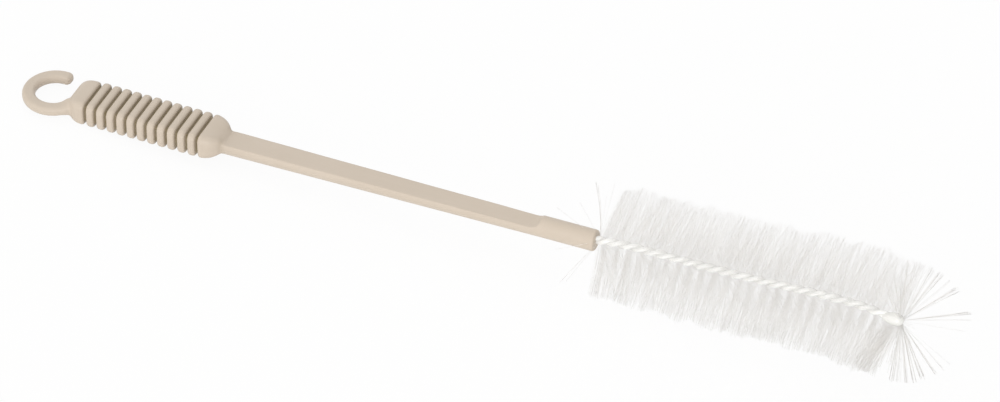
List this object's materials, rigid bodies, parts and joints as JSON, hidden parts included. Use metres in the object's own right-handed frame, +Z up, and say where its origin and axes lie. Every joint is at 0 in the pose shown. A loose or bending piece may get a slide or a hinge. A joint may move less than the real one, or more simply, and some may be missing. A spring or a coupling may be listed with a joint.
{
  "type": "bottle brush",
  "caption": "Long straight bottle brush: moulded ribbed grip with an open hanging hook, flat-topped stem, and a twisted-in-wire cylindrical bristle head with a fanned tip.",
  "frame": {"origin": "on the table the brush lies on, below the middle of its length, on the vertical plane through its axis", "axes": "+X along the brush from the hook towards the bristle tip, +Z up from the table with the stem's flat facing up, +Y to the left when looking from the hook to the tip"},
  "size_m": [0.4152, 0.0504, 0.0602],
  "materials": {
    "handle": "satin moulded plastic, warm beige",
    "wire": "smooth white plastic coating over steel",
    "bristle": "translucent white nylon"
  },
  "bodies": {
    "root": {"handle": "handle", "core_wire": "wire", "bristles": "bristle", "tip_bristles": "bristle"}
  },
  "joints": []
}
